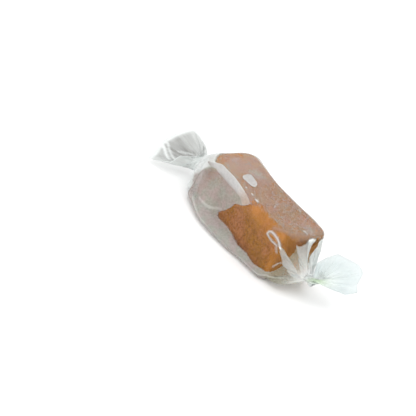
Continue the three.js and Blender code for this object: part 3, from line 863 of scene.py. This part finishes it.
def film_tint(graph, place, along, gathered, cover):
    """Colour of a single layer."""
    film = graph.blend(graph.patches(place, **FILM_HUE), FILM_ROSY, FILM_GREY)
    # painted shade where thin paper hangs over the dim inside
    web_shade = graph.math("MULTIPLY", graph.ramp(along, *WEB_SHADE_FROM), graph.ramp(cover, *WEB_SHADE_COVER))
    film = graph.blend(web_shade, film, WEB_SHADE)
    film = graph.blend(graph.math("MAXIMUM", gathered, graph.ramp(cover, *WHITE_COVER)), film, WHITE)
    right_end = graph.blend(graph.ramp(along, *COOL_FROM), WHITE, COOL_WHITE)
    return graph.blend(graph.ramp(along, *RIGHT_NECK_FROM), film, right_end)


def fold_tint(graph, along):
    """Colour of what is folded double, and of the painted reflection on the blister."""
    tip = graph.math("MULTIPLY", graph.ramp(along, *HEM_TIP_FROM), graph.ramp(along, *HEM_TIP_TO, 1, 0))
    fold = graph.blend(graph.ramp(along, *RIBBON_GREY_FROM), HEM_GREY, RIBBON_GREY)
    fold = graph.blend(tip, fold, HEM_TIP)
    return graph.blend(graph.ramp(along, *RIBBON_WHITE_FROM), fold, RIBBON_WHITE)


def hollow_shade(graph, sheet):
    """How much shade is painted in the hollow of the fan at -X, in streaks."""
    streaks = graph.patches(graph.stretched(sheet, HOLLOW_STRETCH), **HOLLOW_STREAKS)
    return graph.math("MULTIPLY", graph.number("shade"), streaks)


def paper_tint(graph, place, sheet, along, gathered, cover):
    tint = film_tint(graph, place, along, gathered, cover)
    tint = graph.blend(graph.ramp(graph.number("fold"), *FOLD_TINT), tint, fold_tint(graph, along))
    # painted green light under the neck at +X
    tint = graph.blend(graph.number("painted_green_light"), tint, PAINTED_GREEN)
    # whitened creases and painted glints
    tint = graph.blend(graph.number("crease"), tint, CREASE_AND_GLINT_WHITE)
    return graph.blend(hollow_shade(graph, sheet), tint, HOLLOW_SHADE_GREY)


# ---- Paper's material: its shader ------------------------------------------------------------------------
CRINKLE_STRETCH = (0.12, 1.2, 1)  # the finest crinkles run along the sheet
TRANSLUCENT = (31, 38, 0.15, 0.5)  # the fans let more light through than the sleeve
FILM_ABSORBS = 0.3  # share of the light that a thin film takes where it hides what is behind it


def paper_material():
    """Film that hides by its cover what is behind it. Both of its skins together do, so each hides less."""
    graph = Graph("waxed_paper")
    place = graph.millimetres()
    sheet = graph.node("Attribute", output=1, attribute_name="sheet")
    along = graph.node("SeparateXYZ", {0: sheet})
    from_middle = graph.math("ABSOLUTE", along)
    gathered = graph.ramp(from_middle, *GATHERED)
    cover = paper_cover(graph, place)
    # creases and painted glints hide more
    creased = graph.math("MULTIPLY_ADD", graph.number("crease"), CREASE_AND_GLINT_COVER, cover, clamp=True)
    skin = graph.math("SUBTRACT", 1, graph.math("SQRT", graph.math("SUBTRACT", 1, creased)))
    tint = paper_tint(graph, place, sheet, along, gathered, cover)
    crinkle = graph.noise(graph.stretched(sheet, CRINKLE_STRETCH), size=1)
    bump = graph.node("Bump", {"Height": crinkle, "Strength": 0.2, "Distance": 0.2 * MM})
    paper = graph.node("BsdfPrincipled", {
        "Base Color": tint, "Roughness": 0.4, "Normal": bump, "Specular IOR Level": 0.3,
    })
    through = graph.node("BsdfTranslucent", {"Color": tint, "Normal": bump})
    paper = graph.node("MixShader", {0: graph.ramp(from_middle, *TRANSLUCENT), 1: paper, 2: through})
    absorbed = graph.ramp(gathered, 0, 1, -FILM_ABSORBS, 0)
    gone = graph.node("BsdfTransparent", {0: graph.math("MULTIPLY_ADD", skin, absorbed, 1)})
    return graph.finish(graph.node("MixShader", {0: skin, 1: gone, 2: paper}))


# ---- Camera, light and floor -----------------------------------------------------------------------------
CAMERA = dict(azimuth=47.31, elevation=30.62, roll=22.53, distance=450, lens=119.8)
AIM = (-9.32, -13.07, 5.35)  # what the middle of the picture looks at
SENSOR = 36
CAMERA_SEES = (10, 5000)  # nearest and furthest
WORLD_STRENGTH = 1.05
SOFTBOX = dict(place=(150, -60, 600), size=500, power=1.15)
SKINS_SEEN_THROUGH = 24
FLOOR_SIZE = 4000  # from the middle to an edge
FLOOR_SPECKLE = dict(size=3, detail=3)


def add_camera():
    azimuth, elevation, roll = (np.radians(CAMERA[k]) for k in ("azimuth", "elevation", "roll"))
    level = np.cos(elevation)
    back = Vector((np.sin(azimuth) * level, -np.cos(azimuth) * level, np.sin(elevation)))
    right = Vector((np.cos(azimuth), np.sin(azimuth), 0))
    turned = (Matrix.Rotation(roll, 3, back) @ right).normalized()
    axes = Matrix((turned, back.cross(turned), back)).transposed()
    lens = bpy.data.cameras.new("camera")
    lens.lens, lens.sensor_width = CAMERA["lens"], SENSOR
    lens.clip_start, lens.clip_end = (distance * MM for distance in CAMERA_SEES)
    made = bpy.data.objects.new("camera", lens)
    made.matrix_world = Matrix.Translation((Vector(AIM) + back * CAMERA["distance"]) * MM) @ axes.to_4x4()
    bpy.context.scene.collection.objects.link(made)
    bpy.context.scene.camera = made


def add_softbox():
    """A square area light that faces the sweet."""
    light = bpy.data.lights.new("softbox", "AREA")
    light.shape, light.size, light.energy = "SQUARE", SOFTBOX["size"] * MM, SOFTBOX["power"]
    made = bpy.data.objects.new("softbox", light)
    made.location = Vector(SOFTBOX["place"]) * MM
    made.rotation_euler = Vector(SOFTBOX["place"]).to_track_quat("Z", "Y").to_euler()
    bpy.context.scene.collection.objects.link(made)


def add_studio():
    world = bpy.data.worlds.new("studio")
    world.use_nodes = True
    world.node_tree.nodes["Background"].inputs["Color"].default_value = (1, 1, 1, 1)
    world.node_tree.nodes["Background"].inputs["Strength"].default_value = WORLD_STRENGTH
    bpy.context.scene.world = world
    add_softbox()
    bpy.context.scene.view_settings.view_transform = "Standard"
    bpy.context.scene.cycles.transparent_max_bounces = SKINS_SEEN_THROUGH


def floor_material():
    graph = Graph("pale_floor")
    speckle = graph.noise(graph.millimetres(), **FLOOR_SPECKLE)
    tint = graph.blend(speckle, colour(250, 250, 250), colour(253, 253, 253))
    return graph.finish(graph.node("BsdfPrincipled", {"Base Color": tint, "Roughness": 0.9}))


def add_floor():
    size = FLOOR_SIZE
    corners = np.array([[-size, -size, 0], [size, -size, 0], [size, size, 0], [-size, size, 0]])
    add_mesh("floor", corners, [[0, 1, 2, 3]], floor_material())


# ---- The two pieces --------------------------------------------------------------------------------------
FIELD_LIMIT = 2  # the mesh carries distances from an outline up to this


def add_caramel():
    points, faces = loft(caramel_rings())
    # painted light, and the caramel's own hue
    fields = dict(painted_light=caramel_painted_light(points), hue=caramel_hue(points))
    made = add_mesh("caramel_block", points, faces, caramel_material(), **fields)
    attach(made, "root")
    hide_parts("caramel")


def paper_fields(paper):
    """What the paper's material reads, for every point of its grid."""
    return dict(
        haze=haze(paper), fold_haze=fold_haze(paper), crease=paper.crease, shade=inside_shade(paper),
        painted_green_light=paint_green_light(paper), stuck=np.clip(paper.stuck, -FIELD_LIMIT, FIELD_LIMIT),
        fold=np.clip(paper.fold, -FIELD_LIMIT, FIELD_LIMIT),
        sheet=np.concatenate([paper.sheet, np.zeros((*paper.fold.shape, 1))], -1),
    )


def add_paper():
    """One skin over both faces of the fans and the outside, and one round the hollow for the caramel."""
    paper = make_paper()
    inner = paper.points - paper.normals() * FILM_WALL
    count = len(paper.points)
    fan = len(FAN_STEPS) - 1
    neck = len(NECK_STEPS)
    order = np.concatenate([np.arange(fan - 1, -1, -1), np.arange(count), count - 1 - np.arange(fan)])
    from_inner = np.concatenate([np.ones(fan), np.zeros(count), np.ones(fan)]).astype(bool)
    outer_rings = np.where(from_inner[:, None, None], inner[order], paper.points[order])
    hollow = np.arange(fan + 1 + neck, count - fan - 1 - neck)
    skins = [loft(outer_rings), loft(inner[hollow], inward=True)]
    points = np.concatenate([skin[0] for skin in skins])
    faces = skins[0][1] + [[i + len(skins[0][0]) for i in face] for face in skins[1][1]]
    fields = {
        key: np.concatenate([carry(values, order), carry(values, hollow)])
        for key, values in paper_fields(paper).items()
    }
    inside = np.zeros(len(points), bool)
    inside[:len(order) * RING_POINTS] = np.repeat(from_inner, RING_POINTS)
    outside = (fields["shade"] > 0) * stages(-fields["sheet"][:, 0], *OUTER_SHADE)
    fields["shade"] = np.where(inside, fields["shade"], outside)
    made = add_mesh("waxed_wrapper", points, faces, paper_material(), **fields)
    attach(made, "root")
    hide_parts("wrapper")


add_camera()
add_studio()
add_floor()
add_caramel()
add_paper()
